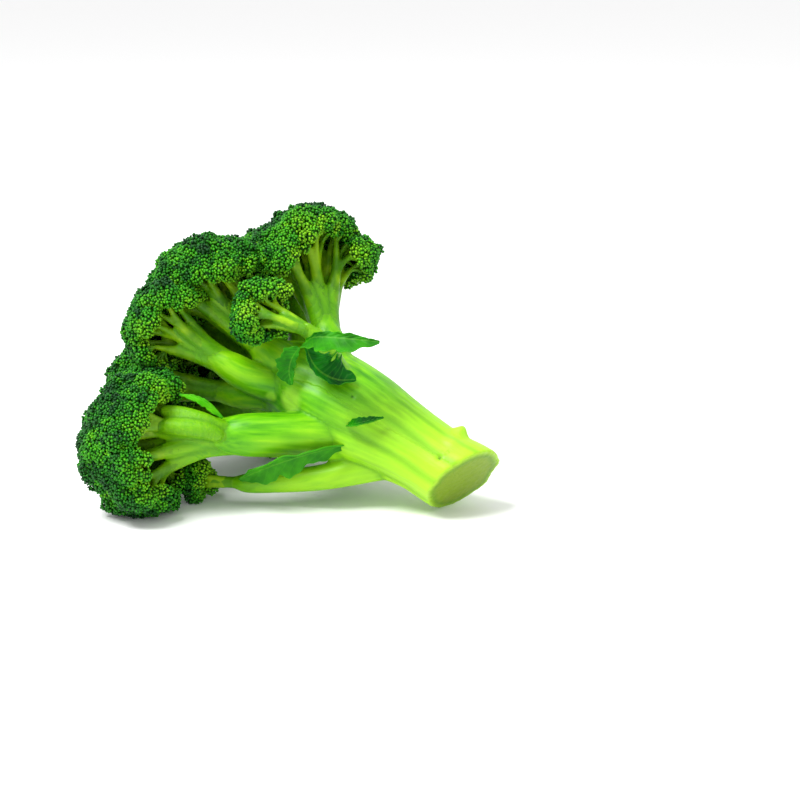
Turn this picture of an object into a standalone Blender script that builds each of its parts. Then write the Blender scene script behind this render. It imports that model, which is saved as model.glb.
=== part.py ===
"""A head of broccoli lying on its side on a table, as it is cut from the plant.

Units are metres and +Z is up. The stalk's cut end points along +X, the crown lies towards -X,
and -Y is the near side. Lengths below are written in millimetres and turned into metres by mm().
Points are first given from the table point under the middle of the cut end. ORIGIN then moves
everything so that the origin is the middle of the head's footprint, on the table.

A floret is what a cook breaks off: its branch and the buds that crown it. Each branch is a
tapering limb that is cut back from the stalk, and each crown is a ball of buds that is pressed
flat where it meets its neighbours, its own branch or the table.
"""

import math

import bmesh
import bpy
from mathutils import Vector

ORIGIN = (80.34, 9.26, 0.0)  # mm, from the middle of the footprint to the cut end
GAP = 0.4  # mm, left between pieces that touch
BEVEL_RESOLUTION = 4
STEPS_PER_SPAN = 3  # path points made between two given ones
BALL_SEGMENTS = 22
BALL_RINGS = 14
LEAF_THICKNESS = 0.9
LEAF_ROWS = 9
LEAF_COLUMNS = 4
RIB_STEPS = 12
LEAF_NECK = 0.22  # a leaf's narrowest width, as a share of its widest
LEAF_STARTS = 0.1  # the stretch of a sine arch that gives a leaf its outline
LEAF_SPAN = 0.86
LEAF_FOLD = 0.3  # how far its edges rise above its rib, as a share of its half width

# The stalk: x, y, z and radius along its middle line, from below the cut to inside the crown.
STALK = [
    (24, 0, 7.4, 19.4),
    (12, 0, 11.8, 19.3),
    (0, 0, 16.2, 19.7),
    (-10, 0, 20.1, 19.2),
    (-22, 0, 26, 19.4),
    (-36, 0, 32, 21.5),
    (-50, 0, 37.5, 24.5),
    (-66, 0, 43.5, 26),
    (-80, 0, 49, 25),
    (-92, 0, 53, 21),
]
CUT_AT = (0, 0, 16.2)
CUT_FACES = (0.774, -0.308, -0.558)  # the knife went through a little askew

# Each floret: its branch as x, y, z and radius, from inside the stalk to where it spreads,
# then its crown's centre, radius, the way it faces, and how far its rim reaches back past the
# centre, as a share of the radius.
FLORETS = {
    "near_low": {
        "branch": [(-52, -8, 32, 11), (-72, -26, 34.5, 11), (-92, -42, 36, 10.5), (-106, -51, 36, 12)],
        "centre": (-128, -62, 32.3), "radius": 33.5, "faces": (-0.87, -0.48, 0), "rim": 0.42,
    },
    "near_mid": {
        "branch": [(-78, -8, 48, 8), (-96, -20, 56, 8), (-110, -29, 65, 8.5), (-117, -33, 69.5, 10)],
        "centre": (-130, -37, 80), "radius": 26.5, "faces": (-0.8, -0.35, 0.35), "rim": 0.2,
    },
    "near_top": {
        "branch": [(-80, -4, 54, 11), (-97, -10, 68, 11), (-108, -12.5, 78, 12.5)],
        "centre": (-122.5, -14.5, 90), "radius": 32, "faces": (-0.6, -0.15, 0.78), "rim": 0.2,
    },
    "top": {
        "branch": [(-64, 0, 52, 10), (-71, 3, 72, 10), (-77, 7, 86, 11.5)],
        "centre": (-87.5, 16.5, 101.5), "radius": 31.5, "faces": (-0.3, 0.35, 0.88), "rim": 0.2,
    },
    "small_top": {
        "branch": [(-60, -8, 58, 7), (-62, -14.5, 71, 6), (-66.5, -20, 83, 5.5)],
        "centre": (-86, -26, 90), "radius": 17, "faces": (-0.92, -0.25, 0.29), "rim": 0.2,
    },
    "small_low": {
        "branch": [
            (-38, -8, 20, 7),
            (-62, -21.5, 14.5, 6.5),
            (-86, -31.5, 11.5, 5.5),
            (-101, -35.5, 10.2, 5.5),
        ],
        "centre": (-115, -39, 10.4), "radius": 10.5, "faces": (-1, -0.2, 0), "rim": 0.5,
    },
    "far_low": {
        "branch": [(-60, 8, 36, 11), (-84, 26, 34, 11), (-98, 34, 33, 12.5)],
        "centre": (-118, 45, 30.8), "radius": 32, "faces": (-0.65, 0.75, -0.1), "rim": 0.3,
    },
    "tip": {
        "branch": [(-90, 2, 54, 12), (-112, 6, 59, 12), (-124, 7, 61, 14)],
        "centre": (-143, 8, 65), "radius": 31, "faces": (-1, 0.1, 0.15), "rim": 0.2,
    },
    "far_top": {
        "branch": [(-78, 8, 52, 10), (-94, 22, 66, 10), (-106, 29, 74, 12)],
        "centre": (-123, 39, 87), "radius": 30, "faces": (-0.4, 0.7, 0.55), "rim": 0.25,
    },
    "tip_low": {
        "branch": [(-84, 0, 44, 10), (-108, 3, 38, 9.5), (-121, 5, 36, 11)],
        "centre": (-138, 6, 33), "radius": 26, "faces": (-0.9, 0, -0.42), "rim": 0.3,
    },
    "near_tip": {
        "branch": [(-84, -6, 48, 9), (-110, -17, 48, 8.5), (-124, -21.5, 48.5, 10)],
        "centre": (-144, -28, 50), "radius": 24, "faces": (-0.92, -0.36, 0.05), "rim": 0.2,
    },
}
FLARE = 0.5  # a branch's radius where its twigs meet the crown, as a share of the crown's radius
FLARE_STARTS = 0.6  # the flare's middle, as a share of the way from the branch's last point to the rim
PAST_RIM = 4  # mm that the branch runs past the rim before it is cut flat

# Each leaf: its end inside the stem it grows on, the point it bends towards, its tip, its width,
# and the way it faces.
LEAVES = {
    "long": [(-68, -22.5, 79), (-55, -35, 85), (-31, -22.5, 82), 11, (0.2, -0.75, 0.6)],
    "folded": [(-67.5, -22, 72), (-61, -25, 56), (-45, -11, 66), 8, (0.35, -0.7, 0.6)],
    "flat": [(-71.5, -23.5, 73), (-75, -25.5, 66), (-73.5, -27, 58), 9, (0.35, -0.9, 0.2)],
    "stalk": [(-47.5, -22.5, 41), (-40, -26.5, 44), (-30.5, -20, 46.5), 5, (0.3, -0.6, 0.74)],
    "low": [(-50, -23, 30.5), (-64, -43, 29), (-93, -42.5, 16), 15, (0.3, -0.75, -0.6)],
    "neck": [(-97, -47.5, 45), (-103, -52, 54), (-116, -53, 55), 5, (0.3, -0.6, 0.74)],
    "far_broad": [(-60, 20, 42), (-72, 38, 36), (-88, 52, 38), 12, (0.3, 0.8, 0.3)],
    "far_small": [(-24, 17, 24), (-34, 30, 22), (-48, 34, 26), 7, (0.2, 0.85, 0.45)],
}


def mm(value):
    """Millimetres, one number or a point, in Blender's metres."""
    return value * 0.001 if isinstance(value, (int, float)) else Vector(value) * 0.001


def placed(point):
    """A point given from the cut end, in the part's own frame."""
    return mm(Vector(point) + Vector(ORIGIN))


def clear_scene():
    for obj in list(bpy.data.objects):
        bpy.data.objects.remove(obj)


def collection(name):
    made = bpy.data.collections.new(name)
    bpy.context.scene.collection.children.link(made)
    return made


def material(name, colour, roughness):
    made = bpy.data.materials.new(name)
    made.use_nodes = True
    shader = made.node_tree.nodes["Principled BSDF"]
    shader.inputs["Base Color"].default_value = (*colour, 1.0)
    shader.inputs["Roughness"].default_value = roughness
    shader.inputs["Metallic"].default_value = 0.0
    made.diffuse_color = (*colour, 1.0)
    return made


def smooth_path(points):
    """Points on a smooth curve through the given ones (Catmull-Rom), radius included."""
    ends = [points[0], *points, points[-1]]
    path = []
    for before, start, end, after in zip(ends, ends[1:], ends[2:], ends[3:]):
        for step in range(STEPS_PER_SPAN):
            t = step / STEPS_PER_SPAN
            path.append([
                0.5 * (2 * b + (c - a) * t + (2 * a - 5 * b + 4 * c - d) * t**2
                       + (3 * b - a - 3 * c + d) * t**3)
                for a, b, c, d in zip(before, start, end, after)
            ])
    return [*path, list(points[-1])]


def object_from(bm, name, home, finish):
    """The finished bmesh as a smooth-shaded object with its material."""
    mesh = bpy.data.meshes.new(name)
    bm.to_mesh(mesh)
    bm.free()
    mesh.materials.append(finish)
    mesh.shade_smooth()
    mesh.set_sharp_from_angle(angle=math.radians(40))
    obj = bpy.data.objects.new(name, mesh)
    home.objects.link(obj)
    return obj


def limb_mesh(points, grow):
    """A closed tube along the points, each with its own radius, as a bmesh."""
    curve = bpy.data.curves.new("limb", "CURVE")
    curve.dimensions = "3D"
    curve.bevel_depth = mm(1.0)
    curve.bevel_resolution = BEVEL_RESOLUTION
    curve.use_fill_caps = True
    spline = curve.splines.new("POLY")
    path = smooth_path(points)
    spline.points.add(len(path) - 1)
    for point, (x, y, z, radius) in zip(spline.points, path):
        point.co = (*placed((x, y, z)), 1.0)
        point.radius = radius + grow
    guide = bpy.data.objects.new("limb", curve)
    bpy.context.scene.collection.objects.link(guide)
    graph = bpy.context.evaluated_depsgraph_get()
    mesh = bpy.data.meshes.new_from_object(guide.evaluated_get(graph))
    bpy.data.objects.remove(guide)
    bm = bmesh.new()
    bm.from_mesh(mesh)
    bpy.data.meshes.remove(mesh)
    bmesh.ops.remove_doubles(bm, verts=bm.verts, dist=mm(0.01))
    bmesh.ops.recalc_face_normals(bm, faces=bm.faces)
    return bm


def slice_off(bm, point, normal):
    """Takes away what lies beyond the plane, in the normal's direction, and closes the cut."""
    bmesh.ops.bisect_plane(
        bm,
        geom=[*bm.verts, *bm.edges, *bm.faces],
        dist=mm(0.005),
        plane_co=placed(point),
        plane_no=Vector(normal).normalized(),
        clear_outer=True,
    )
    open_edges = [edge for edge in bm.edges if edge.is_boundary]
    bmesh.ops.holes_fill(bm, edges=open_edges, sides=0)


def rim_plane(floret, back=0.0):
    """A point on a crown's flat underside, moved back by that many mm, and the way the crown faces."""
    faces = Vector(floret["faces"]).normalized()
    return Vector(floret["centre"]) - faces * (floret["rim"] * floret["radius"] + back), faces


def branch_points(floret):
    """The branch's points with its flare: it widens as its twigs fan out into the crown."""
    rim, faces = rim_plane(floret)
    wide = FLARE * floret["radius"]
    last = floret["branch"][-1]
    between = Vector(last[:3]).lerp(rim, FLARE_STARTS)
    beyond = rim + faces * PAST_RIM
    return [*floret["branch"], (*between, (last[3] + wide) / 2), (*beyond, wide)]


def cutter(bm, name, home, finish):
    """A helper that is cut from other pieces and isn't a piece itself."""
    obj = object_from(bm, name, home, finish)
    obj.hide_render = True
    obj.display_type = "WIRE"
    return obj


def subtract(obj, tool):
    modifier = obj.modifiers.new("clear_of_" + tool.name, "BOOLEAN")
    modifier.operation = "DIFFERENCE"
    modifier.object = tool


def nearest(path_a, path_b):
    """The smallest gap between two limbs' surfaces, from the points on their middle lines."""
    return min(
        (Vector(a[:3]) - Vector(b[:3])).length - a[3] - b[3] for a in path_a for b in path_b
    )


def stalk(home, finish):
    bm = limb_mesh(STALK, 0.0)
    slice_off(bm, CUT_AT, CUT_FACES)
    slice_off(bm, (0, 0, 0), (0, 0, -1))
    return object_from(bm, "stalk", home, finish)


def crown(name, home, finish):
    """A ball of buds, pressed flat against its neighbours, its branch's twigs and the table."""
    floret = FLORETS[name]
    centre, radius = Vector(floret["centre"]), floret["radius"]
    bm = bmesh.new()
    bmesh.ops.create_uvsphere(bm, u_segments=BALL_SEGMENTS, v_segments=BALL_RINGS, radius=mm(radius))
    turn = Vector((0, 0, 1)).rotation_difference(Vector(floret["faces"])).to_matrix()
    bmesh.ops.rotate(bm, verts=bm.verts, cent=(0, 0, 0), matrix=turn)
    bmesh.ops.translate(bm, verts=bm.verts, vec=placed(centre))
    rim, faces = rim_plane(floret)
    slice_off(bm, rim, -faces)
    for other in FLORETS:
        towards = Vector(FLORETS[other]["centre"]) - centre
        far = towards.length
        if other == name or far > radius + FLORETS[other]["radius"]:
            continue
        share = (far**2 + radius**2 - FLORETS[other]["radius"] ** 2) / (2 * far)
        meeting = centre + towards.normalized() * (share - GAP / 2)
        slice_off(bm, meeting, towards)
    slice_off(bm, (0, 0, 0), (0, 0, -1))
    return object_from(bm, "buds_" + name, home, finish)


def leaf_rib(name):
    """Points along a leaf's rib, each with half the leaf's width."""
    base, bend, tip, width, faces = LEAVES[name]
    base, bend, tip = Vector(base), Vector(bend), Vector(tip)
    steps = [step / RIB_STEPS for step in range(RIB_STEPS + 1)]
    return [(*(base * (1 - t) ** 2 + bend * 2 * t * (1 - t) + tip * t**2), width / 2) for t in steps]


def leaf(name, home, finish):
    """A small blade that tapers at both ends, folded a little along its rib."""
    base, middle, tip, width, faces = LEAVES[name]
    base, middle, tip, faces = (Vector(v) for v in (base, middle, tip, faces))
    bm = bmesh.new()
    bmesh.ops.create_grid(bm, x_segments=LEAF_ROWS, y_segments=LEAF_COLUMNS, size=1.0)
    for vert in bm.verts:
        t = (vert.co.x + 1) / 2
        across = vert.co.y
        rib = base * (1 - t) ** 2 + middle * 2 * t * (1 - t) + tip * t**2
        along = (middle - base) * (1 - t) + (tip - middle) * t
        side = faces.cross(along).normalized()
        fullness = math.sin(math.pi * (LEAF_STARTS + LEAF_SPAN * t))
        half = width / 2 * (LEAF_NECK + (1 - LEAF_NECK) * fullness)
        fold = faces.normalized() * across**2 * half * LEAF_FOLD
        vert.co = placed(rib + side * across * half + fold)
    bmesh.ops.recalc_face_normals(bm, faces=bm.faces)
    obj = object_from(bm, "leaf_" + name, home, finish)
    wall = obj.modifiers.new("thickness", "SOLIDIFY")
    wall.thickness = mm(LEAF_THICKNESS)
    wall.offset = 0.0
    return obj


def main():
    clear_scene()
    home = collection("broccoli_head")
    helpers = collection("cutters")
    stem_green = material("stem_green", (0.30, 0.55, 0.03), 0.45)
    bud_green = material("bud_green", (0.035, 0.14, 0.03), 0.6)
    leaf_green = material("leaf_green", (0.02, 0.2, 0.03), 0.5)

    stalk(home, stem_green)
    stalk_tool = cutter(limb_mesh(STALK, GAP), "stalk_clearance", helpers, stem_green)

    tools = {}
    for name, floret in FLORETS.items():
        points = branch_points(floret)
        rim, faces = rim_plane(floret, GAP)
        bm = limb_mesh(points, 0.0)
        slice_off(bm, rim, faces)
        branch = object_from(bm, "branch_" + name, home, stem_green)
        subtract(branch, stalk_tool)
        for tool, path in tools.values():
            if nearest(path, smooth_path(points)) < GAP:
                subtract(branch, tool)
        bm = limb_mesh(points, GAP)
        slice_off(bm, rim_plane(floret)[0], faces)
        tool = cutter(bm, name + "_clearance", helpers, stem_green)
        tools[name] = (tool, smooth_path(points))

    for name, floret in FLORETS.items():
        buds = crown(name, home, bud_green)
        ball = [(*floret["centre"], floret["radius"])]
        for other, (tool, path) in tools.items():
            if other != name and nearest(path, ball) < GAP:
                subtract(buds, tool)

    for name in LEAVES:
        blade = leaf(name, home, leaf_green)
        subtract(blade, stalk_tool)
        rib = leaf_rib(name)
        for tool, path in tools.values():
            if nearest(path, rib) < GAP:
                subtract(blade, tool)


main()
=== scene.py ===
import math

import bpy
import numpy as np
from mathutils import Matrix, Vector, kdtree


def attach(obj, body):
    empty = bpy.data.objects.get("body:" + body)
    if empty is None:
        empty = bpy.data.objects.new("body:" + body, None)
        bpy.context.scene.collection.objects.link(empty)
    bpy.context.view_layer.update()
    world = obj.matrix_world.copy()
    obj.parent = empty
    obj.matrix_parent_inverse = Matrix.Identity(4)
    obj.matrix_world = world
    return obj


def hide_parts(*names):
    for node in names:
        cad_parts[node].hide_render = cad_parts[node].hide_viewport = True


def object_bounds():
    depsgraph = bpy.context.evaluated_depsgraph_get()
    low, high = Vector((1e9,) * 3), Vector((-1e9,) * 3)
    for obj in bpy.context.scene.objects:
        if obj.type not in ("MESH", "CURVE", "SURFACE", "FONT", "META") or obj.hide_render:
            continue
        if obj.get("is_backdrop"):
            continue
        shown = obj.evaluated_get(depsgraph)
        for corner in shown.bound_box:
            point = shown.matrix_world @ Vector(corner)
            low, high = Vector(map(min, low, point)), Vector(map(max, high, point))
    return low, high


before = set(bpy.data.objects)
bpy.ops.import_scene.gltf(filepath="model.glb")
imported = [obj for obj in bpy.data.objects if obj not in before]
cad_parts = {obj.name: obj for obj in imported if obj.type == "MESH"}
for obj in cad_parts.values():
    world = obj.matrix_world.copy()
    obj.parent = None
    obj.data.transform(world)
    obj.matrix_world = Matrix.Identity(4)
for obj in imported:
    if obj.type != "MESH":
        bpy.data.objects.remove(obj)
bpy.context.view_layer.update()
print("frame loaded:", len(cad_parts), "nodes")

# Points are in millimetres from the table point under the middle of the cut end, as in the CAD.
# toFrame moves them into the frame: +X runs along the stalk to the cut, -Y is the near side.
cutAt = np.array((80.34, 9.26, 0.0))
random = np.random.default_rng(7)


def toFrame(points):
    return (np.asarray(points, float) + cutAt) * 0.001


def unit(v):
    v = np.asarray(v, float)
    return v / np.maximum(np.linalg.norm(v, axis=-1, keepdims=True), 1e-9)


def green(r, g, b):
    # a colour as a paint program gives it, 0 to 255, in the renderer's linear values
    parts = (c / 255 for c in (r, g, b))
    return tuple(c / 12.92 if c <= 0.04045 else ((c + 0.055) / 1.055) ** 2.4 for c in parts) + (1.0,)


def smoothPath(points, steps):
    # a smooth curve through the given points, radius included
    p = np.asarray(points, float)
    ends = np.vstack([2 * p[0] - p[1], p, 2 * p[-1] - p[-2]])
    out = []
    for a, b, c, d in zip(ends, ends[1:], ends[2:], ends[3:]):
        for t in np.arange(steps) / steps:
            out.append(0.5 * (2 * b + (c - a) * t + (2 * a - 5 * b + 4 * c - d) * t**2
                              + (3 * b - a - 3 * c + d) * t**3))
    return np.array([*out, p[-1]])


def bend(start, control, end, steps):
    # points on a bend from start to end that leaves start towards control
    t = np.linspace(0, 1, steps)[:, None]
    return start * (1 - t) ** 2 + control * 2 * t * (1 - t) + end * t**2


def tubes(paths, sides):
    # closed tubes of one length of path: paths is (tubes, points, xyz and radius)
    paths = np.asarray(paths, float)
    count, length = paths.shape[:2]
    middle, radius = paths[..., :3], paths[..., 3]
    along = unit(np.gradient(middle, axis=1))
    whole = unit(middle[:, -1] - middle[:, 0])
    helper = np.where(np.abs(whole[:, 2:3]) < 0.8, [[0.0, 0, 1]], [[0.0, 1, 0]])
    helper = unit(np.cross(whole, helper))[:, None]
    u = unit(helper - (helper * along).sum(-1, keepdims=True) * along)
    w = np.cross(along, u)
    turn = np.arange(sides) * 2 * math.pi / sides
    ring = u[:, :, None] * np.cos(turn)[:, None] + w[:, :, None] * np.sin(turn)[:, None]
    skin = middle[:, :, None] + ring * radius[:, :, None, None]
    poles = np.stack([middle[:, 0] - along[:, 0] * radius[:, :1] * 0.4,
                      middle[:, -1] + along[:, -1] * radius[:, -1:] * 0.4], 1)
    points = np.concatenate([skin.reshape(count, -1, 3), poles], 1)
    near = (np.arange(length - 1)[:, None] * sides + np.arange(sides)).ravel()
    beside = (np.arange(length - 1)[:, None] * sides + (np.arange(sides) + 1) % sides).ravel()
    one = [np.stack([near, beside, beside + sides], 1), np.stack([near, beside + sides, near + sides], 1)]
    first, following = np.arange(sides), (np.arange(sides) + 1) % sides
    last = (length - 1) * sides
    foot = np.full(sides, length * sides)
    one.append(np.stack([following, first, foot], 1))
    one.append(np.stack([last + first, last + following, foot + 1], 1))
    one = np.concatenate(one)
    faces = (one[None] + np.arange(count)[:, None, None] * points.shape[1]).reshape(-1, 3)
    return points.reshape(-1, 3), faces


def meshOf(name, points, faces):
    # a smooth-shaded object from points in millimetres and triangles
    mesh = bpy.data.meshes.new(name)
    mesh.vertices.add(len(points))
    mesh.vertices.foreach_set("co", toFrame(points).astype(np.float32).ravel())
    mesh.loops.add(len(faces) * 3)
    mesh.loops.foreach_set("vertex_index", np.asarray(faces, np.int32).ravel())
    mesh.polygons.add(len(faces))
    mesh.polygons.foreach_set("loop_start", np.arange(0, len(faces) * 3, 3, dtype=np.int32))
    mesh.update(calc_edges=True)
    mesh.validate()
    mesh.shade_smooth()
    piece = bpy.data.objects.new(name, mesh)
    bpy.context.scene.collection.objects.link(piece)
    return piece


def note(piece, name, values):
    # keeps a number, or a vector, for each point of the piece, which its material reads
    values = np.asarray(values, np.float32)
    kind, key = ("FLOAT", "value") if values.ndim == 1 else ("FLOAT_VECTOR", "vector")
    piece.data.attributes.new(name, kind, "POINT").data.foreach_set(key, values.ravel())


def pointsOf(piece):
    co = np.empty(len(piece.data.vertices) * 3, np.float32)
    piece.data.vertices.foreach_get("co", co)
    return co.reshape(-1, 3).astype(float) * 1000 - cutAt


def select(piece):
    bpy.ops.object.select_all(action="DESELECT")
    piece.select_set(True)
    bpy.context.view_layer.objects.active = piece


def spread(axis, halfAngle, gap, wobble):
    # directions spread evenly round the axis, up to halfAngle degrees from it, gap radians apart
    total = max(4, int(4 * math.pi / (gap * gap * 0.866)))
    i = np.arange(total) + 0.5
    height = 1 - 2 * i / total
    turn = i * math.pi * (3 - math.sqrt(5)) + random.uniform(0, 6.28)
    flat = np.sqrt(1 - height**2)
    found = np.stack([flat * np.cos(turn), flat * np.sin(turn), height], 1)
    found = found[height >= math.cos(math.radians(halfAngle))]
    found = unit(found + random.normal(0, wobble * gap, found.shape))
    toAxis = np.array(Vector((0, 0, 1)).rotation_difference(Vector(axis)).to_matrix())
    return found @ toAxis.T


stalkShape = {
    "middle": [  # x, y, z and radius, as in the CAD
        (24, 0, 7.4, 19.4), (12, 0, 11.8, 19.3), (0, 0, 16.2, 19.7), (-10, 0, 20.1, 19.2), (-22, 0, 26, 19.4),
        (-36, 0, 32, 21.5), (-50, 0, 37.5, 24.5), (-66, 0, 43.5, 26), (-80, 0, 49, 25), (-92, 0, 53, 21),
    ],
    "core": 0.92,  # the round middle's share of the radius; ridges stand proud of it
    "cutPoint": (0, 0, 16.2),
    "cutFaces": (0.774, -0.308, -0.558),
    # ridges: degrees round the stalk from the top towards the near side, and how fat each is
    "ridges": [(-8, 1.0), (34, 0.9), (68, 1.1), (108, 1.15),
               (150, 0.9), (-160, 1.0), (-112, 1.05), (-58, 1.0)],
    "ridgeRun": (-92, 24, 17),  # where along x a ridge starts and ends, and its number of points
    "ridgeGrows": (-96, 30),  # where it starts to grow and over what length
    "ridgeWide": 0.38,  # its radius, as a share of the stalk's
    "ridgeProud": 0.25, "ridgeSunk": 3.5,  # how far it stands out, and how deep it starts
    "lean": (0.315, 0.94),  # how far a ridge's ring leans back and stays upright, as the stalk slopes
    "voxel": 0.85,
    # marks in the skin: where, how wide, how high, and what it is
    "marks": [
        ((-76.5, -25.6, 50), 5.2, 0.12, "scar"), ((-87, -23.5, 49.5), 2.4, 0.1, "scar"),
        ((-4, 3.5, 36), 6.2, 4.0, "knob"), ((-3, -6, 35), 6.5, 1.0, "knob"),
        ((-5.2, -14.5, 30.1), 1.0, -0.9, "nick"), ((-47.5, -18.2, 54.4), 0.9, -0.8, "nick"),
        ((-30, 19, 30), 4.5, 0.25, "scar"), ((-58, 22, 58), 4.0, 0.2, "scar"),
        ((-40, 0, 8), 4.5, 0.2, "scar"),
    ],
    # short side shoots on the near low branch, as x, y, z and radius
    "shoots": [
        [(-96, -50, 41, 3.0), (-103, -55.5, 44.8, 3.9), (-112, -59.5, 47.6, 3.7), (-121, -61, 48.4, 2.9)],
        [(-95, -54, 38, 3.0), (-101, -59, 41.4, 4.1), (-110, -64.5, 43, 3.9), (-119, -66.5, 43, 3.0)],
    ],
}

# Each floret: its branch (x, y, z, radius), the ball that its crown fills, the way it faces, how far
# round its buds reach in degrees, and the directions in which the crown stands open.
florets = {
    "near_low": {
        "branch": [(-52, -8, 32, 11), (-72, -26, 34.5, 10.6), (-92, -42, 36, 10), (-104, -50, 36, 10.5)],
        "centre": (-128, -62, 32.3), "radius": 33.0, "faces": (-0.87, -0.48, 0), "reach": 122,
        "open": [((0.96, -0.23, 0.17), 58)],
    },
    "near_mid": {
        "branch": [(-78, -8, 48, 8), (-96, -20, 56, 7.5), (-108, -27.5, 64, 7.5), (-114, -31, 68, 8)],
        "centre": (-127.5, -36, 79.5), "radius": 25, "faces": (-0.85, -0.1, 0.45), "reach": 96,
        "open": [((0.5, -0.8, -0.3), 66)],
    },
    "near_top": {
        "branch": [(-80, -4, 54, 11), (-95, -9, 66, 10.5), (-103, -11.5, 73, 10.5)],
        "centre": (-122.5, -14.5, 90), "radius": 32, "faces": (-0.6, 0.0, 0.78), "reach": 96,
        "open": [((0.46, -0.79, -0.4), 66)],
    },
    "top": {
        "branch": [(-64, 0, 52, 9.5), (-71, 3, 70, 9), (-75, 6, 82, 9)],
        "centre": (-87.5, 16.5, 101.5), "radius": 31.5, "faces": (-0.3, 0.35, 0.88), "reach": 104,
        "open": [((0.8, -0.59, 0.08), 62)],
    },
    "small_top": {
        "branch": [(-60, -8, 58, 7), (-62, -14.5, 71, 5.6), (-67, -20, 83, 5.2)],
        "centre": (-86, -26, 90), "radius": 17, "faces": (-0.92, -0.25, 0.29), "reach": 118,
        "open": [((0.8, -0.58, 0.18), 76)],
    },
    "small_low": {
        "branch": [(-38, -8, 20, 7), (-62, -21.5, 14.5, 6), (-86, -31.5, 11.5, 5), (-101, -35.5, 10.2, 4.6)],
        "centre": (-115, -39, 10.4), "radius": 11, "faces": (-1, -0.2, 0.1), "reach": 105, "open": [],
    },
    "far_low": {
        "branch": [(-60, 8, 36, 11), (-82, 25, 34, 10.5), (-96, 33, 33, 11)],
        "centre": (-118, 45, 30.8), "radius": 31.5, "faces": (-0.65, 0.75, -0.1), "reach": 112, "open": [],
    },
    "tip": {
        "branch": [(-90, 2, 54, 12), (-112, 6, 59, 10.5), (-120, 7, 60, 11)],
        "centre": (-143, 8, 65), "radius": 30.5, "faces": (-1, 0.1, 0.15), "reach": 96, "open": [],
    },
    "far_top": {
        "branch": [(-78, 8, 52, 10), (-92, 20, 64, 9.5), (-102, 26, 71, 10)],
        "centre": (-123, 39, 87), "radius": 29.5, "faces": (-0.4, 0.7, 0.55), "reach": 100, "open": [],
    },
    "tip_low": {
        "branch": [(-84, 0, 44, 10), (-106, 3, 38.5, 8.5), (-116, 4.5, 37, 9)],
        "centre": (-138, 6, 33), "radius": 25.5, "faces": (-0.9, 0, -0.42), "reach": 100, "open": [],
    },
    "near_tip": {
        "branch": [(-84, -6, 48, 9), (-108, -16.5, 48, 7.5), (-120, -20.5, 48.5, 8)],
        "centre": (-144, -28, 50), "radius": 23.5, "faces": (-0.92, -0.36, 0.05), "reach": 92, "open": [],
    },
}

crownShape = {
    "moundGap": 12.0, "moundRadius": 9.0,  # the crown's soft mounds
    "clusterGap": 4.5, "clusterRadius": 2.5,  # each mound's knots of buds
    "budGap": 1.40, "budRadius": 0.72, "budHeight": 1.0,
    "budSizes": (0.78, 1.16), "budTall": (0.85, 1.35),  # how much buds differ
    "cushion": 0.88, "cushionSunk": 0.3,  # the soft body under a knot: its share of the knot, how deep it is
    "lowest": 0.05,  # nothing goes below this height over the table
}
# The fan into which a branch splits. Lengths are in branch radii.
fanShape = {
    "armGap": 0.82,  # radians between two arms
    "startsBack": 2.2, "spreadOut": 0.6,  # where the arms start, and how far aside they go
    "widths": (0.5, 0.46, 0.36, 0.27), "thinnest": 1.6,  # their width along the way, at least 1.6 mm
}


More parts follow.
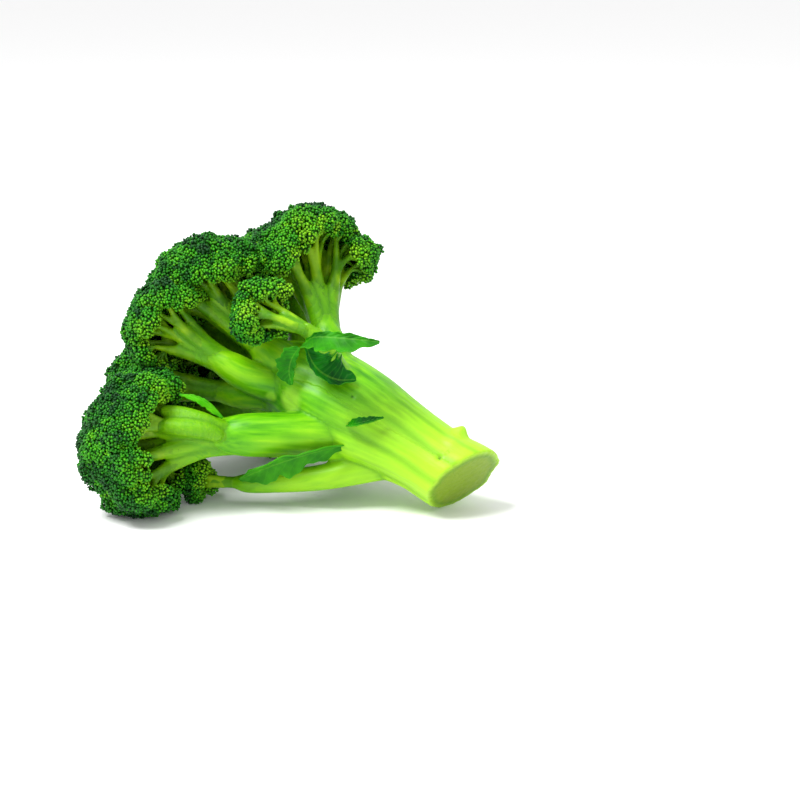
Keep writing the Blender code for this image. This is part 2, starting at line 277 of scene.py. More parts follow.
def growFloret(name):
    # lays out a floret's mounds and the twigs that carry them
    floret = florets[name]
    centre, radius = np.array(floret["centre"], float), floret["radius"]
    axis = unit(floret["faces"])
    small = min(1.0, 0.45 + radius / 55)  # a small floret has smaller mounds
    mound = crownShape["moundRadius"] * small
    ways = spread(axis, floret["reach"] - 14, crownShape["moundGap"] * small / (radius - 2), 0.09)
    shut = np.ones(len(ways), bool)
    for way, angle in floret["open"]:
        shut &= ways @ unit(way) < math.cos(math.radians(angle))
    ways = ways[shut]
    sizes = mound * random.uniform(0.82, 1.16, len(ways))
    floret["axis"], floret["ways"], floret["mounds"] = axis, ways, sizes
    floret["moundAt"] = centre + ways * (radius - mound + random.uniform(-2.2, 1.2, len(ways)))[:, None]
    branch = smoothPath(floret["branch"], 6)
    steps = np.linalg.norm(np.diff(branch[:, :3], axis=0), axis=1)
    toEnd = np.append(np.cumsum(steps[::-1])[::-1], 0)  # how far each point is from the branch's end
    heading = unit(branch[-1, :3] - branch[-4, :3])
    thick, end = branch[-1, 3], branch[-1, :3].copy()
    start = branch[np.abs(toEnd - thick * fanShape["startsBack"]).argmin(), :3].copy()
    thinning = np.clip(toEnd / (thick * 1.9), 0, 1)
    branch[:, 3] *= 0.45 + 0.55 * thinning * (2 - thinning)  # it thins where its arms leave it
    floret["limb"] = np.vstack([branch, [*(end + heading * thick * 0.7), thick * 0.2]])
    arms = spread(axis, min(84, floret["reach"] * 0.8), fanShape["armGap"] if radius > 20 else 1.0, 0.12)
    nearest = (ways @ arms.T).argmax(1)
    fat = 1.0 if radius > 20 else 1.12  # a small floret's arms are stout for its size
    floret["arms"], floret["twigs"] = [], []
    for arm in range(len(arms)):
        mine = np.flatnonzero(nearest == arm)
        if not len(mine):
            continue
        bases = floret["moundAt"][mine] - ways[mine] * (sizes[mine] * 0.45)[:, None]  # where twigs end
        goal = end + (bases.mean(0) - end) * 0.74
        aside = (goal - end) - heading * ((goal - end) @ heading)
        slant = np.linalg.norm(aside)
        aside *= min(1.0, 1.4 * slant / np.linalg.norm(goal - end)) / max(slant, 0.01)
        knee = end + aside * thick * fanShape["spreadOut"]
        half = knee + (goal - knee) * 0.5 + heading * thick * 0.18
        places = (start + aside * thick * 0.42, knee, half, goal)
        path = smoothPath([[*place, max(fanShape["thinnest"], thick * wide * fat)]
                           for place, wide in zip(places, fanShape["widths"])], 5)
        floret["arms"].append(path)
        for base in bases:
            leave = path[random.integers(-7, -2)]
            out = unit(path[-1, :3] - path[-5, :3])
            run = bend(leave[:3], leave[:3] + out * np.linalg.norm(base - leave[:3]) * 0.5, base, 8)
            floret["twigs"].append(np.column_stack([run, np.linspace(leave[3] * 0.8, 1.15 * small, 8)]))
    floret["twigOf"] = np.concatenate([np.flatnonzero(nearest == a) for a in range(len(arms))])


for name in florets:
    growFloret(name)
print("florets laid out:", sum(len(f["ways"]) for f in florets.values()), "mounds")


def stalkAt(x):
    line = np.array(stalkShape["middle"], float)[::-1]
    return np.array([np.interp(x, line[:, 0], line[:, i]) for i in (1, 2, 3)])


def ridgePath(degrees, fat):
    # a strand that runs down the stalk's skin from the crown to the cut
    turn = math.radians(degrees)
    out = []
    growsFrom, growsOver = stalkShape["ridgeGrows"]
    back, upright = stalkShape["lean"]
    for x in np.linspace(*stalkShape["ridgeRun"]):
        y, z, r = stalkAt(x)
        grown = min(1.0, (x - growsFrom) / growsOver)  # it rises out of the crown's flesh little by little
        wide = stalkShape["ridgeWide"] * r * fat * (0.45 + 0.55 * grown)
        away = r - wide + stalkShape["ridgeProud"] - stalkShape["ridgeSunk"] * (1 - grown)
        out.append((x - back * away * math.cos(turn), y - away * math.sin(turn),
                    z + upright * away * math.cos(turn), wide))
    return np.array(out)


def sliceOff(piece, point, normal):
    # cuts the piece at a plane, as a knife does, and closes the cut
    select(piece)
    bpy.ops.object.mode_set(mode="EDIT")
    bpy.ops.mesh.select_all(action="SELECT")
    bpy.ops.mesh.bisect(plane_co=tuple(toFrame(point)), plane_no=tuple(unit(normal)),
                        use_fill=True, clear_outer=True)
    bpy.ops.object.mode_set(mode="OBJECT")


def apply(piece, kind, values):
    # adds one modifier to the piece and applies it
    select(piece)
    modifier = piece.modifiers.new(kind.lower(), kind)
    for key, value in values.items():
        setattr(modifier, key, value)
    bpy.ops.object.modifier_apply(modifier=modifier.name)


def limbsMesh(name, limbs):
    # one mesh of overlapping closed tubes, to be melted into one skin
    allPoints, allFaces, grown = [], [], 0
    for limb in limbs:
        points, faces = tubes([limb], 28 if limb[:, 3].max() > 6 else 18)
        allPoints.append(points)
        allFaces.append(faces + grown)
        grown += len(points)
    return meshOf(name, np.concatenate(allPoints), np.concatenate(allFaces))


# the stalk, its ridges, the branches and their arms, melted into one grown skin
core = smoothPath(stalkShape["middle"], 4)
core[:, 3] *= stalkShape["core"]
ridges = [ridgePath(*ridge) for ridge in stalkShape["ridges"]]
branches = [floret["limb"] for floret in florets.values()]
arms = [arm for floret in florets.values() for arm in floret["arms"]]
arms += [smoothPath(shoot, 5) for shoot in stalkShape["shoots"]]
limbs = [core, *ridges, *branches, *arms]
flesh = limbsMesh("stalk_and_branches", limbs)
melt = {"mode": "VOXEL", "voxel_size": stalkShape["voxel"] * 0.001}
apply(flesh, "REMESH", melt)
sliceOff(flesh, stalkShape["cutPoint"], stalkShape["cutFaces"])
apply(flesh, "REMESH", melt)
apply(flesh, "SMOOTH", {"factor": 0.5, "iterations": 10})
flesh.data.shade_smooth()
print("flesh:", len(flesh.data.polygons), "faces")


grainApart = 37.0  # millimetres between the grain of one limb and the next, so that none match
batch = 4000  # points looked up at a time, to save memory


def nearestLimb(points):
    # for each point: its limb's middle, heading, length and radius there, and the gap to the next limb
    middles, headings, lengths, radii, starts = [], [], [], [], [0]
    for limb in limbs:
        fine = np.column_stack([np.interp(np.linspace(0, len(limb) - 1, len(limb) * 3),
                                          np.arange(len(limb)), limb[:, i]) for i in range(4)])
        middles.append(fine[:, :3])
        headings.append(unit(np.gradient(fine[:, :3], axis=0)))
        steps = np.linalg.norm(np.diff(fine[:, :3], axis=0), axis=1)
        lengths.append(np.concatenate([[0], np.cumsum(steps)]) + len(lengths) * grainApart)
        radii.append(fine[:, 3])
        starts.append(starts[-1] + len(fine))
    middles, headings = np.concatenate(middles), np.concatenate(headings)
    lengths, radii = np.concatenate(lengths), np.concatenate(radii)
    found = np.empty(len(points), int)
    groove = np.empty(len(points))
    firstArm = 1 + len(ridges) + len(branches)  # limbs before it are thick, the rest are thin
    for first in range(0, len(points), batch):
        part = points[first:first + batch]
        away = np.sqrt(np.maximum((part**2).sum(1)[:, None] + (middles**2).sum(1) - 2 * part @ middles.T, 0))
        away -= radii
        found[first:first + batch] = away.argmin(1)
        perLimb = np.minimum.reduceat(away, starts[:-1], axis=1)
        thick = np.sort(perLimb[:, 1:firstArm], axis=1)
        thin = np.sort(perLimb[:, firstArm:], axis=1)
        onArm = thin[:, 0] < thick[:, 0]
        groove[first:first + batch] = np.where(onArm, thin[:, 1] - thin[:, 0], thick[:, 1] - thick[:, 0])
    return middles[found], headings[found], lengths[found], radii[found], groove


fleshPoints = pointsOf(flesh)
middle, heading, length, thickness, groove = nearestLimb(fleshPoints)
outward = fleshPoints - middle
outward -= (outward * heading).sum(1, keepdims=True) * heading
note(flesh, "grain", outward + heading * (length * 0.05)[:, None])  # drawn out along the limb
note(flesh, "thickness", thickness)
# groove is near 1 in the creases where two ridges or limbs meet, where the stem material paints shade
note(flesh, "groove", np.exp(-(groove / 1.5) ** 2))
cutFaces = unit(stalkShape["cutFaces"])
fromCut = (np.array(stalkShape["cutPoint"]) - fleshPoints) @ cutFaces
note(flesh, "fromCut", fromCut)  # millimetres up the stalk from the cut
# how far each point of the cut face is from the skin round it
rimPoints = fleshPoints[(fromCut > 0.9) & (fromCut < 1.9)]
fromRim = np.full(len(fleshPoints), 9.0)
for index in np.flatnonzero(fromCut < 1.0):
    fromRim[index] = np.linalg.norm(rimPoints - fleshPoints[index], axis=1).min()
note(flesh, "fromRim", fromRim)

# scars where leaves were cut off, a knob by the cut and small nicks, pressed into the skin
marked = {"scar": np.zeros(len(fleshPoints)), "nick": np.zeros(len(fleshPoints))}
skin = unit(outward)
shift = np.zeros(len(fleshPoints))
for where, wide, high, kind in stalkShape["marks"]:
    middleOf = fleshPoints[np.linalg.norm(fleshPoints - where, axis=1).argmin()]
    reach = np.linalg.norm((fleshPoints - middleOf) * (1, 1, 1 if kind != "nick" else 0.6), axis=1) / wide
    if kind == "scar":
        shift += high * (np.clip((1.15 - reach) / 0.3, 0, 1) - 0.8 * np.exp(-((reach - 1.2) / 0.12) ** 2))
        marked["scar"] = np.maximum(marked["scar"], np.clip((1.3 - reach) / 0.6, 0, 1))
    elif kind == "knob":
        shift += high * (0.5 + 0.5 * np.cos(math.pi * np.clip(reach, 0, 1))) ** 1.3
        marked["scar"] = np.maximum(marked["scar"], 0.45 * np.clip(1.3 - reach, 0, 1))
    else:
        shift += high * np.exp(-(reach**2))
        marked["nick"] = np.maximum(marked["nick"], np.exp(-(reach**2) * 1.5))
shift *= np.clip((fromCut - 0.6) / 1.2, 0, 1)  # the cut face itself stays flat
fleshPoints += skin * shift[:, None]
fleshPoints[:, 2] = np.maximum(fleshPoints[:, 2], 0.1)
flesh.data.vertices.foreach_set("co", toFrame(fleshPoints).astype(np.float32).ravel())
flesh.data.update()
for kind, values in marked.items():
    note(flesh, kind, values)
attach(flesh, "root")
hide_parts("stalk", *("branch_" + name for name in florets))


def rimOf(floret, ways):
    # 1 at the crown's rim and at the edge of its open side, 0 well inside
    inside = floret["reach"] - np.degrees(np.arccos(np.clip(ways @ floret["axis"], -1, 1)))
    for way, angle in floret["open"]:
        inside = np.minimum(inside, np.degrees(np.arccos(np.clip(ways @ unit(way), -1, 1))) - angle + 14)
    return np.clip(1 - inside / 46, 0, 1)


def layClusters():
    # knots of buds over every mound, where no other mound, limb or the table covers them
    allMounds = np.concatenate([f["moundAt"] for f in florets.values()])
    allSizes = np.concatenate([f["mounds"] for f in florets.values()])
    limbLine = np.concatenate([f["limb"] for f in florets.values()] + [core])
    for name, floret in florets.items():
        at, of, tops, sizes = [], [], [], []
        for number, (mound, size, way) in enumerate(zip(floret["moundAt"], floret["mounds"], floret["ways"])):
            ways = spread(way, 88, crownShape["clusterGap"] / size, 0.16)
            rim = rimOf(floret, unit(mound + ways * size - floret["centre"]))
            ways = ways[random.uniform(0, 1, len(ways)) > 0.03 + 0.16 * rim]
            radii = crownShape["clusterRadius"] * random.uniform(0.8, 1.22, len(ways))
            spots = mound + ways * (size - radii + random.normal(0, 0.75, len(ways)))[:, None]
            far = np.linalg.norm(spots[:, None] - allMounds, axis=2) - allSizes
            same = np.linalg.norm(allMounds - mound, axis=1) < 1e-6
            far[:, same] = 99  # a mound doesn't cover its own knots
            free = far.min(1) > -crownShape["clusterRadius"] - 0.3
            off = np.linalg.norm(spots[:, None] - limbLine[:, :3], axis=2) - limbLine[:, 3]
            free &= off.min(1) > 2.2  # knots stand clear of the branches and the stalk
            at.append(spots[free])
            tops.append(ways[free])
            sizes.append(radii[free])
            of.append(np.full(free.sum(), number))
        at, tops, of = np.concatenate(at), np.concatenate(tops), np.concatenate(of)
        at[:, 2] = np.maximum(at[:, 2], crownShape["clusterRadius"] * 0.75)
        floret["clusterAt"], floret["clusterWays"], floret["clusterOf"] = at, tops, of
        floret["clusterSize"] = np.concatenate(sizes)


def budTemplate():
    # a bead with a rounded top and ten points, because a crown has thousands
    points, height = [], []
    # level is each ring's tip value: low at the base, which the bud material paints in shade, high at the top
    for count, z, wide, level in ((3, 0.86, 0.44, 0.92), (6, 0.3, 1.0, 0.3)):
        for k in range(count):
            turn = k * 2 * math.pi / count
            points.append((wide * math.cos(turn), wide * math.sin(turn), z))
            height.append(level)
    points.append((0, 0, -0.8))
    height.append(0.0)
    faces = [(0, 1, 2)]
    for k in range(3):
        after, left, right, beyond = (k + 1) % 3, 3 + 2 * k, 4 + 2 * k, 3 + (2 * k + 2) % 6
        faces += [(k, left, right), (k, right, after), (after, right, beyond)]
        faces += [(left, 9, right), (right, 9, beyond)]
    return np.array(points), np.array(faces), np.array(height)


def layBuds(tree, knots):
    # buds over each knot, where no other knot covers them
    widest = max(size for _, _, size in knots)
    spots, ways, owners = [], [], []
    for index, (centre, way, size) in enumerate(knots):
        found = spread(way, 104, crownShape["budGap"] / size, 0.16)
        lifts = size + random.normal(0, 0.16, len(found))
        for spot, out in zip(centre + found * lifts[:, None], found):
            near = tree.find_range(Vector(spot), widest)
            if not any(i != index and d < knots[i][2] - 0.3 for _, i, d in near):
                spots.append(spot)
                ways.append(out)
                owners.append(index)
    return np.array(spots), np.array(ways), np.array(owners)


layClusters()
everyKnot = []
for floret in florets.values():
    everyKnot += zip(floret["clusterAt"], floret["clusterWays"], floret["clusterSize"])
tree = kdtree.KDTree(len(everyKnot))
for index, knot in enumerate(everyKnot):
    tree.insert(Vector(knot[0]), index)
tree.balance()
print("knots of buds:", len(everyKnot))
budSpots, budWays, budKnots = layBuds(tree, everyKnot)
print("buds:", len(budSpots))


def cushionTemplate():
    # a small round cushion under each knot, which fills the gaps between its buds and is painted dark as
    # shade
    g = (1 + math.sqrt(5)) / 2
    points = [(-1, g, 0), (1, g, 0), (-1, -g, 0), (1, -g, 0), (0, -1, g), (0, 1, g),
              (0, -1, -g), (0, 1, -g), (g, 0, -1), (g, 0, 1), (-g, 0, -1), (-g, 0, 1)]
    faces = [(0, 11, 5), (0, 5, 1), (0, 1, 7), (0, 7, 10), (0, 10, 11), (1, 5, 9), (5, 11, 4), (11, 10, 2),
             (10, 7, 6), (7, 1, 8), (3, 9, 4), (3, 4, 2), (3, 2, 6), (3, 6, 8), (3, 8, 9), (4, 9, 5),
             (2, 4, 11), (6, 2, 10), (8, 6, 7), (9, 8, 1)]
    return unit(points), np.array(faces)


def crownPiece(name, first, last):
    floret = florets[name]
    mine = (budKnots >= first) & (budKnots < last)
    spots, ways, knots = budSpots[mine], budWays[mine], budKnots[mine] - first
    count = len(spots)
    form, formFaces, formHeight = budTemplate()
    lean = unit(ways + random.normal(0, 0.24, ways.shape))
    side = unit(np.cross(lean, random.normal(0, 1, lean.shape)))
    other = np.cross(lean, side)
    size = random.uniform(*crownShape["budSizes"], count)
    wide = (crownShape["budRadius"] * size)[:, None, None]
    tall = (crownShape["budHeight"] * size * random.uniform(*crownShape["budTall"], count))[:, None, None]
    points = (spots[:, None] + side[:, None] * form[None, :, :1] * wide
              + other[:, None] * form[None, :, 1:2] * wide + lean[:, None] * form[None, :, 2:] * tall)
    faces = formFaces[None] + (np.arange(count) * len(form))[:, None, None]
    # ripe is how pale a bud is: paler at the crown's rim, between mounds and low on a knot
    mound = floret["clusterOf"][knots]
    deep = 1 - (floret["clusterWays"][knots] * floret["ways"][mound]).sum(1)
    low = 1 - (ways * floret["clusterWays"][knots]).sum(1)
    rim = rimOf(floret, unit(spots - floret["centre"]))
    knotLuck = random.normal(0, 0.13, len(floret["clusterAt"]))[knots]
    moundLuck = random.normal(0, 0.09, len(floret["ways"]))[mound]
    ripe = 0.12 + 0.38 * rim + 0.30 * deep + 0.20 * low + knotLuck + moundLuck + random.normal(0, 0.06, count)
    at = floret["clusterAt"]
    cushion, cushionFaces = cushionTemplate()
    cushions = (at[:, None] - floret["clusterWays"][:, None] * crownShape["cushionSunk"]
                + cushion * (floret["clusterSize"] * crownShape["cushion"])[:, None, None])
    cushionFaces = cushionFaces[None] + (np.arange(len(at)) * len(cushion))[:, None, None] + count * len(form)
    allPoints = np.concatenate([points.reshape(-1, 3), cushions.reshape(-1, 3)])
    allPoints[:, 2] = np.maximum(allPoints[:, 2], crownShape["lowest"])
    allFaces = np.concatenate([faces.reshape(-1, 3), cushionFaces.reshape(-1, 3)])
    piece = meshOf("crown_" + name, allPoints, allFaces)
    luck = random.uniform(0, 1, count)
    under = np.ones(len(at) * len(cushion))  # one for each point of a cushion
    note(piece, "ripe", np.concatenate([np.repeat(ripe, len(form)), under * 0.5]))
    # tip runs from a bud's base to its top; the material paints shade low on each bud, and the cushions, at
    # 0.12, almost wholly in it
    note(piece, "tip", np.concatenate([np.tile(formHeight, count), under * 0.12]))
    note(piece, "luck", np.concatenate([np.repeat(luck, len(form)), under * 0.5]))
    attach(piece, "root")
    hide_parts("buds_" + name)
    print("crown", name, count, "buds", len(allFaces), "triangles")
    return piece


twigShape = {
    "voxel": 0.72,
    "fineWide": (0.95, 0.65), "finePoints": 4, "fineSides": 5,  # the fine stalks of the knots
    "lowest": 0.3,  # nothing goes below this height over the table
}


def twigPiece(name):
    # the twigs from a floret's arms to its mounds, and the fine stalk of each knot of buds
    floret = florets[name]
    inner = [arm[-9:] * (1, 1, 1, 0.97) for arm in floret["arms"]]
    base = limbsMesh("twigs_base", inner + floret["twigs"])
    apply(base, "REMESH", {"mode": "VOXEL", "voxel_size": twigShape["voxel"] * 0.001})
    apply(base, "SMOOTH", {"factor": 0.5, "iterations": 3})
    points = pointsOf(base)
    base.data.calc_loop_triangles()
    faces = np.empty(len(base.data.loop_triangles) * 3, np.int32)
    base.data.loop_triangles.foreach_get("vertices", faces)
    faces = faces.reshape(-1, 3)
    bpy.data.objects.remove(base)
    order = {mound: index for index, mound in enumerate(floret["twigOf"])}
    fine, steps = [], twigShape["finePoints"]
    for at, way, mound in zip(floret["clusterAt"], floret["clusterWays"], floret["clusterOf"]):
        twig = floret["twigs"][order[mound]]
        start = twig[-2, :3]
        end = at - way * 1.2
        reach = np.linalg.norm(end - start)
        run = bend(start, start + unit(twig[-1, :3] - twig[-3, :3]) * reach * 0.5, end, steps)
        fine.append(np.column_stack([run, np.linspace(*twigShape["fineWide"], steps)]))
    finePoints, fineFaces = tubes(np.array(fine), twigShape["fineSides"])
    allPoints = np.concatenate([points, finePoints])
    allPoints[:, 2] = np.maximum(allPoints[:, 2], twigShape["lowest"])
    piece = meshOf("twigs_" + name, allPoints, np.concatenate([faces, fineFaces + len(points)]))
    note(piece, "fine", np.concatenate([np.zeros(len(points)), np.ones(len(finePoints))]))
    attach(piece, "root")
    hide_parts("branch_" + name)
    return piece


crowns, twigs, first = [], [], 0
for name, floret in florets.items():
    last = first + len(floret["clusterAt"])
    crowns.append(crownPiece(name, first, last))
    twigs.append(twigPiece(name))
    first = last

# Each leaf: points along its rib, its half widths above and below the rib, the way it faces, how far
# its halves fold up, how its edges ruffle, where it is widest, and how pale it is.
leafShapes = {
    "long": {
        "rib": [(-69, -22, 77.5), (-61, -27.5, 81.6), (-52.3, -28.7, 82.8),
                (-42, -26.8, 82.6), (-31, -22.5, 81.6)],
        "halves": (2.6, 9.6), "faces": (0.2, -0.75, 0.6),
        "fold": 0.4, "ruffle": 0.9, "widest": 0.55, "pale": 0.22,
    },
    "folded": {
        "rib": [(-68.5, -23, 76), (-64.5, -24, 68.5), (-60, -22.5, 63.5),
                (-54, -19, 60.5), (-47.5, -14, 60.5)],
        "halves": (12, 2.4), "faces": (0.35, -0.7, 0.6),
        "fold": 0.15, "ruffle": 1.3, "widest": 0.62, "pale": 0.0,
    },
    "flat": {
        "rib": [(-71.5, -23.5, 75), (-74, -25.5, 70), (-75, -26.5, 64),
                (-73.5, -27, 58)],
        "halves": (6.5, 2.8), "faces": (0.35, -0.9, 0.2),
        "fold": 0.25, "ruffle": 0.5, "widest": 0.5, "pale": 0.15,
    },
    "stalk": {
        "rib": [(-48, -22.3, 41), (-42, -25.3, 43.4), (-36, -24, 45.2),
                (-30.5, -20, 46.5)],
        "halves": (2.6, 2.4), "faces": (0.3, -0.6, 0.74),
        "fold": 0.6, "ruffle": 0.3, "widest": 0.3, "pale": 0.05,
    },
    "low": {
        "rib": [(-48, -20.5, 32), (-58, -33, 30.5), (-70, -40.5, 26.5),
                (-82, -42.5, 21), (-93, -42.5, 15)],
        "halves": (4.5, 8.0), "faces": (0.3, -0.75, -0.6),
        "fold": 0.4, "ruffle": 1.0, "widest": 0.62, "pale": 0.35,
    },
    "neck": {
        "rib": [(-97, -48.5, 45), (-102.5, -52, 51.5), (-108, -54, 54.5),
                (-116, -54.5, 55)],
        "halves": (1.2, 3.2), "faces": (0.3, -0.6, 0.74),
        "fold": 0.4, "ruffle": 0.4, "widest": 0.4, "pale": 1.0,
    },
    "far_broad": {
        "rib": [(-60, 20, 42), (-68, 31, 38.5), (-77, 42, 37),
                (-88, 52, 38)],
        "halves": (6.0, 6.0), "faces": (0.3, 0.8, 0.3),
        "fold": 0.4, "ruffle": 1.0, "widest": 0.5, "pale": 0.2,
    },
    "far_small": {
        "rib": [(-24, 16.5, 24.5), (-30, 24, 23), (-38, 30.5, 23),
                (-48, 34, 26)],
        "halves": (3.4, 3.4), "faces": (0.2, 0.85, 0.45),
        "fold": 0.4, "ruffle": 0.6, "widest": 0.45, "pale": 0.2,
    },
}


bladeShape = {"columns": 18, "steps": 12, "thick": 0.6}  # points across, steps between rib points, mm


def leafPiece(name):
    # a blade folded up from its rib, with a toothed and ruffled edge
    leaf = leafShapes[name]
    columns = bladeShape["columns"]
    rib = smoothPath([(*point, 0) for point in leaf["rib"]], bladeShape["steps"])[:, :3]
    rows = len(rib)
    along = unit(np.gradient(rib, axis=0))
    side = unit(np.cross(unit(leaf["faces"]), along))
    side *= np.sign(side[:, 2].sum())  # one half lies above the rib, the other below
    up = unit(np.cross(along, side))
    up *= np.sign((up @ unit(leaf["faces"])).sum())
    t = np.linspace(0, 1, rows)[:, None]
    across = np.linspace(-1, 1, columns)[None]
    peak = leaf["widest"]
    swell = np.where(t < peak, 0.22 + 0.78 * np.sin(t / peak * math.pi / 2) ** 0.8,
                     np.cos((t - peak) / (1 - peak) * math.pi / 2 * 0.97) ** 0.75)
    # two waves of teeth along the edge
    edge = 1 + 0.13 * np.sin(t * 23 + across * 3) + 0.09 * np.sin(t * 51 + 2 * across + 1.3)
    half = np.where(across > 0, leaf["halves"][0], leaf["halves"][1]) * swell
    half = half * np.where(np.abs(across) > 0.5, edge, 1)
    ruffle = leaf["ruffle"] * across**2 * (np.sin(t * 19 + across * 1.5) + 0.5 * np.sin(t * 37 - across))
    veins = 0.12 * np.sin(t * 60 - np.abs(across) * 9)
    lift = half * leaf["fold"] * np.abs(across) ** 1.4 + ruffle * swell * 0.8 + veins
    reach = across * half * (1 - 0.25 * leaf["fold"] * np.abs(across))
    points = rib[:, None] + side[:, None] * reach[..., None] + up[:, None] * lift[..., None]
    index = np.arange(rows * columns).reshape(rows, columns)
    quads = np.stack([index[:-1, :-1], index[1:, :-1], index[1:, 1:], index[:-1, 1:]], -1).reshape(-1, 4)
    faces = np.concatenate([quads[:, [0, 1, 2]], quads[:, [0, 2, 3]]])
    piece = meshOf("leaf_" + name + "_blade", points.reshape(-1, 3), faces)
    note(piece, "across", np.broadcast_to(np.abs(across), (rows, columns)).ravel())
    note(piece, "alongLeaf", np.broadcast_to(t, (rows, columns)).ravel())
    note(piece, "pale", np.full(rows * columns, leaf["pale"]))
    apply(piece, "SOLIDIFY", {"thickness": bladeShape["thick"] * 0.001, "offset": 0})
    apply(piece, "SUBSURF", {"levels": 1, "render_levels": 1})
    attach(piece, "root")
    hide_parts("leaf_" + name)
    return piece


leaves = [leafPiece(name) for name in leafShapes]
print("leaves:", len(leaves))


def material(name, roughness):
    made = bpy.data.materials.new(name)
    made.use_nodes = True
    tree = made.node_tree
    shader = tree.nodes["Principled BSDF"]
    shader.inputs["Roughness"].default_value = roughness
    return made, tree, shader


def node(tree, kind, values=None, links=None):
    made = tree.nodes.new(kind)
    for key, value in (values or {}).items():
        if key in made.inputs:
            made.inputs[key].default_value = value
        else:
            setattr(made, key, value)
    for key, source in (links or {}).items():
        tree.links.new(source, made.inputs[key])
    return made


def readNote(tree, name, output):
    return node(tree, "ShaderNodeAttribute", {"attribute_name": name}).outputs[output]


def noise(tree, where, scale, detail=3.0):
    made = node(tree, "ShaderNodeTexNoise", {"Scale": scale, "Detail": detail}, {"Vector": where})
    return made.outputs["Fac"]


def ramp(tree, factor, stops):
    made = node(tree, "ShaderNodeValToRGB", links={"Fac": factor})
    points = made.color_ramp.elements
    while len(points) < len(stops):
        points.new(0.5)
    for point, (position, colour) in zip(points, stops):
        point.position = position
        point.color = colour
    return made.outputs["Color"]


def feed(tree, value, plug):
    # gives a socket a plain value, or what another node puts out
    if hasattr(value, "is_output"):
        tree.links.new(value, plug)
    else:
        plug.default_value = value


def mix(tree, factor, a, b, blend="MIX"):
    made = node(tree, "ShaderNodeMix", {"data_type": "RGBA", "blend_type": blend})
    for socket, value, kind in (("Factor", factor, "VALUE"), ("A", a, "RGBA"), ("B", b, "RGBA")):
        feed(tree, value, next(s for s in made.inputs if s.name == socket and s.type == kind))
    return next(s for s in made.outputs if s.type == "RGBA")


def sums(tree, operation, a, b=0.0):
    made = node(tree, "ShaderNodeMath", {"operation": operation})
    for plug, value in zip(made.inputs, (a, b)):
        feed(tree, value, plug)
    return made.outputs[0]


def span(tree, value, low, high, outLow=0.0, outHigh=1.0):
    # stretches low to high over outLow to outHigh
    ranges = {"From Min": low, "From Max": high, "To Min": outLow, "To Max": outHigh}
    return node(tree, "ShaderNodeMapRange", ranges, {"Value": value}).outputs["Result"]


def darker(tree, colour, share):
    return mix(tree, 1.0, colour, (*share, 1), "MULTIPLY")


def bump(tree, shader, height, distance, strength=1.0):
    made = node(tree, "ShaderNodeBump", {"Distance": distance, "Strength": strength}, {"Height": height})
    tree.links.new(made.outputs["Normal"], shader.inputs["Normal"])


def stemMaterial():
    made, tree, shader = material("stem flesh", 0.38)
    grain = readNote(tree, "grain", "Vector")
    streaks = noise(tree, grain, 0.42, 4)
    place = node(tree, "ShaderNodeTexCoord").outputs["Object"]
    patches = noise(tree, place, 30, 3)
    both = sums(tree, "ADD", sums(tree, "MULTIPLY", streaks, 0.45), sums(tree, "MULTIPLY", patches, 0.55))
    colour = ramp(tree, both, [(0.36, green(58, 138, 0)), (0.48, green(94, 172, 0)),
                               (0.62, green(132, 196, 8))])
    thin = span(tree, readNote(tree, "thickness", "Fac"), 2.0, 8.0, 0.7, 0.0)
    colour = mix(tree, thin, colour, green(94, 148, 2))
    pale = span(tree, readNote(tree, "fromCut", "Fac"), 0, 60, 0.8, 0.0)
    colour = mix(tree, pale, colour, green(174, 222, 44))
    # painted shade: the creases between ridges and where limbs meet are darkened
    groove = span(tree, readNote(tree, "groove", "Fac"), 0.2, 1.0, 0.0, 0.6)
    colour = mix(tree, groove, colour, darker(tree, colour, (0.42, 0.62, 0.3)))
    scar = span(tree, readNote(tree, "scar", "Fac"), 0, 1, 0.0, 0.65)
    colour = mix(tree, scar, colour, green(162, 218, 62))
    nick = span(tree, readNote(tree, "nick", "Fac"), 0.3, 0.9, 0.0, 0.7)
    colour = mix(tree, nick, colour, green(24, 70, 4))
    # the cut face: olive pith, a darker ring, a pale skin
    pith = ramp(tree, span(tree, readNote(tree, "fromRim", "Fac"), 1, 9),
                [(0.0, green(156, 204, 40)), (0.14, green(122, 168, 20)), (0.3, green(90, 134, 4)),
                 (0.6, green(112, 142, 12))])
    speck = noise(tree, place, 700, 3)
    pith = mix(tree, span(tree, speck, 0.35, 0.7, 0.0, 0.35), pith, green(140, 164, 44))
    onCut = span(tree, readNote(tree, "fromCut", "Fac"), 0.35, 0.9, 1.0, 0.0)
    colour = mix(tree, onCut, colour, pith)
    tree.links.new(colour, shader.inputs["Base Color"])
    tree.links.new(span(tree, streaks, 0.3, 0.7, 0.34, 0.5), shader.inputs["Roughness"])
    shader.inputs["Specular IOR Level"].default_value = 0.25
    shader.inputs["Subsurface Weight"].default_value = 0.2
    shader.inputs["Subsurface Radius"].default_value = (0.004, 0.005, 0.001)
    shader.inputs["Subsurface Scale"].default_value = 0.5
    pores = sums(tree, "MULTIPLY", noise(tree, place, 400, 2), 0.12)
    bump(tree, shader, sums(tree, "ADD", streaks, pores), 0.0006, 0.6)
    return made


def twigMaterial():
    made, tree, shader = material("twig flesh", 0.45)
    place = node(tree, "ShaderNodeTexCoord").outputs["Object"]
    patches = noise(tree, place, 110, 3)
    colour = ramp(tree, patches, [(0.35, green(66, 124, 0)), (0.5, green(98, 152, 2)),
                                  (0.65, green(132, 178, 8))])
    fine = readNote(tree, "fine", "Fac")
    colour = mix(tree, span(tree, fine, 0, 1, 0.0, 0.5), colour, green(92, 158, 4))
    tree.links.new(colour, shader.inputs["Base Color"])
    shader.inputs["Specular IOR Level"].default_value = 0.25
    bump(tree, shader, noise(tree, place, 700, 2), 0.0003, 0.5)
    return made


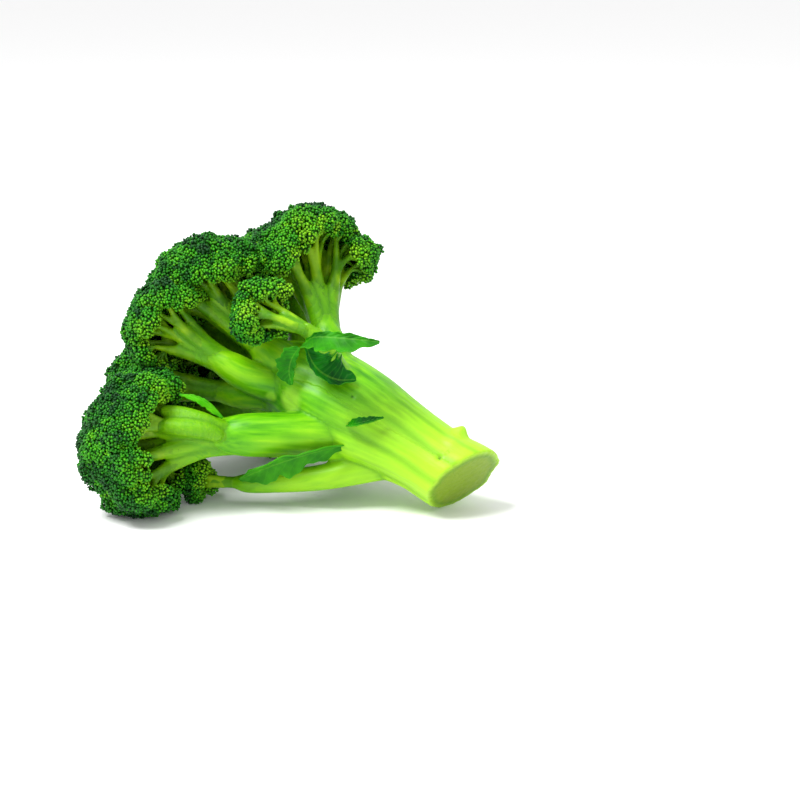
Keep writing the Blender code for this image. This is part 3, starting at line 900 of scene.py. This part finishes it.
def budMaterial():
    made, tree, shader = material("flower buds", 0.5)
    ripe = readNote(tree, "ripe", "Fac")
    luck = readNote(tree, "luck", "Fac")
    tip = readNote(tree, "tip", "Fac")
    place = node(tree, "ShaderNodeTexCoord").outputs["Object"]
    drift = span(tree, noise(tree, place, 60, 2), 0.3, 0.7, -0.12, 0.12)
    value = sums(tree, "ADD", ripe, drift)
    colour = ramp(tree, value, [(0.0, green(14, 76, 24)), (0.2, green(22, 108, 14)),
                                (0.42, green(48, 150, 6)), (0.68, green(88, 180, 4)),
                                (0.95, green(140, 206, 16))])
    dull = darker(tree, colour, (0.62, 0.66, 0.9))
    colour = mix(tree, span(tree, luck, 0, 1, 0.0, 0.7), colour, dull)
    # painted shade: each bud is darkened towards its base, as the gaps between buds fall in shade, and stays
    # light at its tip
    budBaseShade = darker(tree, colour, (0.14, 0.24, 0.12))
    colour = mix(tree, span(tree, tip, 0.1, 0.9), budBaseShade, colour)
    tree.links.new(colour, shader.inputs["Base Color"])
    tree.links.new(span(tree, luck, 0, 1, 0.42, 0.6), shader.inputs["Roughness"])
    shader.inputs["Specular IOR Level"].default_value = 0.22
    bump(tree, shader, noise(tree, place, 1800, 2), 0.0001, 0.5)
    return made


def leafMaterial():
    made, tree, shader = material("leaf blade", 0.5)
    across = readNote(tree, "across", "Fac")
    along = readNote(tree, "alongLeaf", "Fac")
    place = node(tree, "ShaderNodeTexCoord").outputs["Object"]
    patches = noise(tree, place, 90, 4)
    colour = ramp(tree, patches, [(0.3, green(0, 52, 10)), (0.5, green(0, 86, 4)), (0.7, green(14, 124, 0))])
    light = mix(tree, span(tree, patches, 0.3, 0.7), green(30, 140, 2), green(96, 184, 4))
    colour = mix(tree, readNote(tree, "pale", "Fac"), colour, light)
    # side veins run out from the rib towards the tip
    slant = sums(tree, "SUBTRACT", sums(tree, "MULTIPLY", along, 70), sums(tree, "MULTIPLY", across, 11))
    veins = span(tree, sums(tree, "SINE", slant), 0.85, 1.0, 0.0, 0.16)
    colour = mix(tree, veins, colour, green(70, 156, 30))
    colour = mix(tree, span(tree, across, 0.02, 0.07, 0.7, 0.0), colour, green(124, 188, 52))
    colour = mix(tree, span(tree, across, 0.94, 1.0, 0.0, 0.45), colour, green(70, 156, 10))
    tree.links.new(colour, shader.inputs["Base Color"])
    shader.inputs["Specular IOR Level"].default_value = 0.12
    bump(tree, shader, sums(tree, "ADD", noise(tree, place, 500, 3), veins), 0.0003, 0.6)
    return made


stem, twig, bud, leafSkin = stemMaterial(), twigMaterial(), budMaterial(), leafMaterial()
flesh.data.materials.append(stem)
for group, finish in ((twigs, twig), (crowns, bud), (leaves, leafSkin)):
    for piece in group:
        piece.data.materials.append(finish)
print("materials on")

studio = {
    "lens": 85, "target": (-30.65, -3.73, 50.7), "camera": (344.3, -739.6, 272.0),
    "floor": 60, "paper": (0.93, 0.93, 0.93, 1),  # metres, and a white sheet's colour
    "lamp": (-0.35, -0.55, 1.25), "lampSize": 0.7, "lampPower": 26, "lampAim": (0, 0, 0.04),  # metres, watts
}

bpy.ops.object.select_all(action="DESELECT")
bpy.ops.mesh.primitive_plane_add(size=studio["floor"], location=(0, 0, 0))
floor = bpy.context.object
floor.name = "studio_floor"
paper, _, paperShader = material("white paper", 0.9)
paperShader.inputs["Base Color"].default_value = studio["paper"]
paperShader.inputs["Specular IOR Level"].default_value = 0.1
floor.data.materials.append(paper)
floor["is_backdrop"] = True


def lamp(name, place, size, power, aim):
    bpy.ops.object.light_add(type="AREA", location=place)
    made = bpy.context.object
    made.name = name
    made.data.shape = "DISK"
    made.data.size = size
    made.data.energy = power
    made.rotation_euler = (Vector(aim) - Vector(place)).to_track_quat("-Z", "Y").to_euler()
    return made


lamp("key_light", studio["lamp"], studio["lampSize"], studio["lampPower"], studio["lampAim"])
world = bpy.data.worlds.new("studio_air")
world.use_nodes = True
world.node_tree.nodes["Background"].inputs["Color"].default_value = (1, 1, 1, 1)
world.node_tree.nodes["Background"].inputs["Strength"].default_value = 1.0
bpy.context.scene.world = world
bpy.context.scene.view_settings.view_transform = "Standard"

bpy.ops.object.camera_add(location=tuple(toFrame(studio["camera"])))
camera = bpy.context.object
camera.data.lens = studio["lens"]
view = Vector(toFrame(studio["target"])) - camera.location
camera.rotation_euler = view.to_track_quat("-Z", "Y").to_euler()
bpy.context.scene.camera = camera

low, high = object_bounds()
